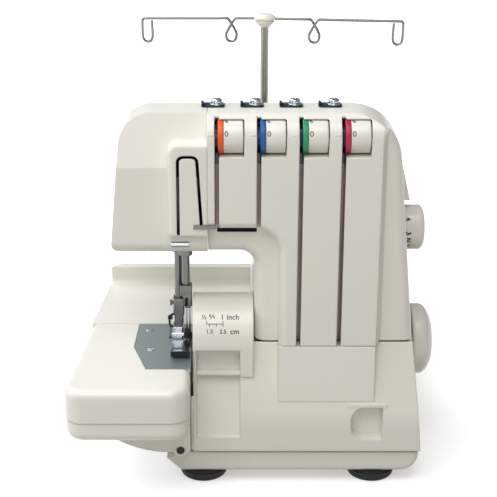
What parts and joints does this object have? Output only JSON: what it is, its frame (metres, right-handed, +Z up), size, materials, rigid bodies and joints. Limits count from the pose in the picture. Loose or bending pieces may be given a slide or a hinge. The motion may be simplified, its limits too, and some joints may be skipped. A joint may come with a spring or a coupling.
{
  "type": "serger sewing machine",
  "caption": "Free-standing overlock sewing machine with coloured tension dials, hinged looper cover, swing-away cloth table, handwheel and telescopic thread stand.",
  "frame": {"origin": "centre of the bounding box on the floor, under the machine", "axes": "+X to the handwheel side, +Y to the thread stand at the back, +Z up"},
  "size_m": [0.2791, 0.29, 0.329],
  "materials": {
    "cream_abs": "satin moulded",
    "ring_orange": "gloss",
    "ring_blue": "gloss",
    "ring_green": "gloss",
    "ring_crimson": "gloss",
    "ground_steel": "fine ground",
    "bright_chrome": "polished",
    "black_steel": "black oxide",
    "cast_aluminium": "as cast",
    "black_rubber": "matte",
    "black_plastic": "matte"
  },
  "bodies": {
    "frame": {"base_pan": "cream_abs", "rubber_feet": "black_rubber", "rear_housing": "cream_abs", "front_panel": "cream_abs", "face_cover": "cream_abs", "bed": "cream_abs", "needle_plate": "ground_steel", "needle_plate_screws": "black_steel", "bar_bushes": "ground_steel", "lower_knife": "ground_steel", "motor": "black_steel", "drive_belt": "black_rubber", "chassis": "cast_aluminium", "dial_axle": "ground_steel", "tension_discs": "bright_chrome", "top_guide_plates": "black_steel", "top_guide_caps": "bright_chrome", "arm_thread_guide": "ground_steel", "power_inlet": "black_plastic", "spool_stand": "cream_abs", "spool_pins": "cream_abs", "antenna_tube": "ground_steel"},
    "lower_cover": {"looper_cover": "cream_abs", "cover_hinge_pins": "ground_steel"},
    "table": {"cloth_plate": "cream_abs", "side_cover": "cream_abs", "swing_pin": "ground_steel"},
    "needle_unit": {"needle_bar": "bright_chrome", "needle_clamp": "ground_steel", "clamp_screws": "black_steel", "needles": "bright_chrome"},
    "lifter": {"presser_lifter": "cream_abs"},
    "presser_unit": {"presser_bar": "bright_chrome", "foot_holder": "ground_steel", "presser_foot": "bright_chrome"},
    "knife_unit": {"knife_arm": "cast_aluminium", "upper_knife": "ground_steel"},
    "lower_looper_unit": {"lower_looper": "bright_chrome"},
    "upper_looper_unit": {"upper_looper": "bright_chrome"},
    "main_feed": {"main_feed_dog": "ground_steel"},
    "diff_feed": {"diff_feed_dog": "ground_steel"},
    "shaft_unit": {"handwheel": "cream_abs", "main_shaft": "ground_steel", "shaft_pulley": "cast_aluminium"},
    "motor_drive": {"motor_pulley": "ground_steel"},
    "stitch_dial": {"stitch_length_dial": "cream_abs"},
    "lever": {"side_lever": "cream_abs"},
    "rocker": {"power_switch": "black_plastic"},
    "antenna": {"antenna_rod": "ground_steel", "antenna_cap": "cream_abs", "thread_guide_bar": "ground_steel"},
    "dial_orange": {"tension_dial_orange": "cream_abs", "dial_ring_orange": "ring_orange"},
    "dial_blue": {"tension_dial_blue": "cream_abs", "dial_ring_blue": "ring_blue"},
    "dial_green": {"tension_dial_green": "cream_abs", "dial_ring_green": "ring_green"},
    "dial_crimson": {"tension_dial_crimson": "cream_abs", "dial_ring_crimson": "ring_crimson"}
  },
  "joints": [
    {"name": "cover_swing", "type": "hinge", "parent": "frame", "child": "lower_cover", "pos_m": [0, -0.09, 0.0335], "axis": [1, 0, 0], "range_deg": [0, 85]},
    {"name": "table_swing", "type": "hinge", "parent": "frame", "child": "table", "pos_m": [-0.057, 0, 0.0335], "axis": [0, -1, 0], "range_deg": [0, 38]},
    {"name": "needle_slide", "type": "slide", "parent": "frame", "child": "needle_unit", "axis": [0, 0, 1], "range_m": [-0.014, 0.012]},
    {"name": "lifter_turn", "type": "hinge", "parent": "frame", "child": "lifter", "pos_m": [-0.0588, 0, 0.214], "axis": [0, -1, 0], "range_deg": [0, 50]},
    {"name": "presser_slide", "type": "slide", "parent": "frame", "child": "presser_unit", "axis": [0, 0, 1], "range_m": [0, 0.006]},
    {"name": "knife_swing", "type": "hinge", "parent": "frame", "child": "knife_unit", "pos_m": [0.003, 0, 0.086], "axis": [0, 1, 0], "range_deg": [0, 8]},
    {"name": "lower_looper_swing", "type": "hinge", "parent": "frame", "child": "lower_looper_unit", "pos_m": [-0.027, 0, 0.047], "axis": [0, 1, 0], "range_deg": [-5, 8]},
    {"name": "upper_looper_swing", "type": "hinge", "parent": "frame", "child": "upper_looper_unit", "pos_m": [-0.012, 0, 0.064], "axis": [0, 1, 0], "range_deg": [0, 8]},
    {"name": "main_feed_slide", "type": "slide", "parent": "frame", "child": "main_feed", "axis": [0, 1, 0], "range_m": [-0.0015, 0.0015]},
    {"name": "diff_feed_slide", "type": "slide", "parent": "frame", "child": "diff_feed", "axis": [0, 1, 0], "range_m": [-0.0015, 0.0015]},
    {"name": "handwheel_spin", "type": "hinge", "parent": "frame", "child": "shaft_unit", "pos_m": [0, -0.017, 0.088], "axis": [1, 0, 0], "continuous": true},
    {"name": "motor_spin", "type": "hinge", "parent": "frame", "child": "motor_drive", "pos_m": [0, 0.025, 0.066], "axis": [1, 0, 0], "continuous": true},
    {"name": "stitch_dial_turn", "type": "hinge", "parent": "frame", "child": "stitch_dial", "pos_m": [0, -0.017, 0.183], "axis": [1, 0, 0], "range_deg": [-120, 120]},
    {"name": "lever_turn", "type": "hinge", "parent": "frame", "child": "lever", "pos_m": [0, -0.017, 0.233], "axis": [1, 0, 0], "range_deg": [-20, 20]},
    {"name": "rocker_tilt", "type": "hinge", "parent": "frame", "child": "rocker", "pos_m": [0.1211, 0, 0.051], "axis": [0, 1, 0], "range_deg": [-8, 8]},
    {"name": "antenna_slide", "type": "slide", "parent": "frame", "child": "antenna", "axis": [0, 0, 1], "range_m": [-0.1, 0]},
    {"name": "dial_orange_turn", "type": "hinge", "parent": "frame", "child": "dial_orange", "pos_m": [0, -0.0765, 0.2745], "axis": [1, 0, 0], "range_deg": [-160, 160]},
    {"name": "dial_blue_turn", "type": "hinge", "parent": "frame", "child": "dial_blue", "pos_m": [0, -0.0765, 0.2745], "axis": [1, 0, 0], "range_deg": [-160, 160]},
    {"name": "dial_green_turn", "type": "hinge", "parent": "frame", "child": "dial_green", "pos_m": [0, -0.0765, 0.2745], "axis": [1, 0, 0], "range_deg": [-160, 160]},
    {"name": "dial_crimson_turn", "type": "hinge", "parent": "frame", "child": "dial_crimson", "pos_m": [0, -0.0765, 0.2745], "axis": [1, 0, 0], "range_deg": [-160, 160]}
  ],
  "couplings": [
    {"joint": "lifter_turn", "follows": "presser_slide", "rad_per_m": 145.4},
    {"joint": "motor_spin", "follows": "handwheel_spin", "ratio": 2.8571},
    {"joint": "diff_feed_slide", "follows": "main_feed_slide", "ratio": 1}
  ]
}
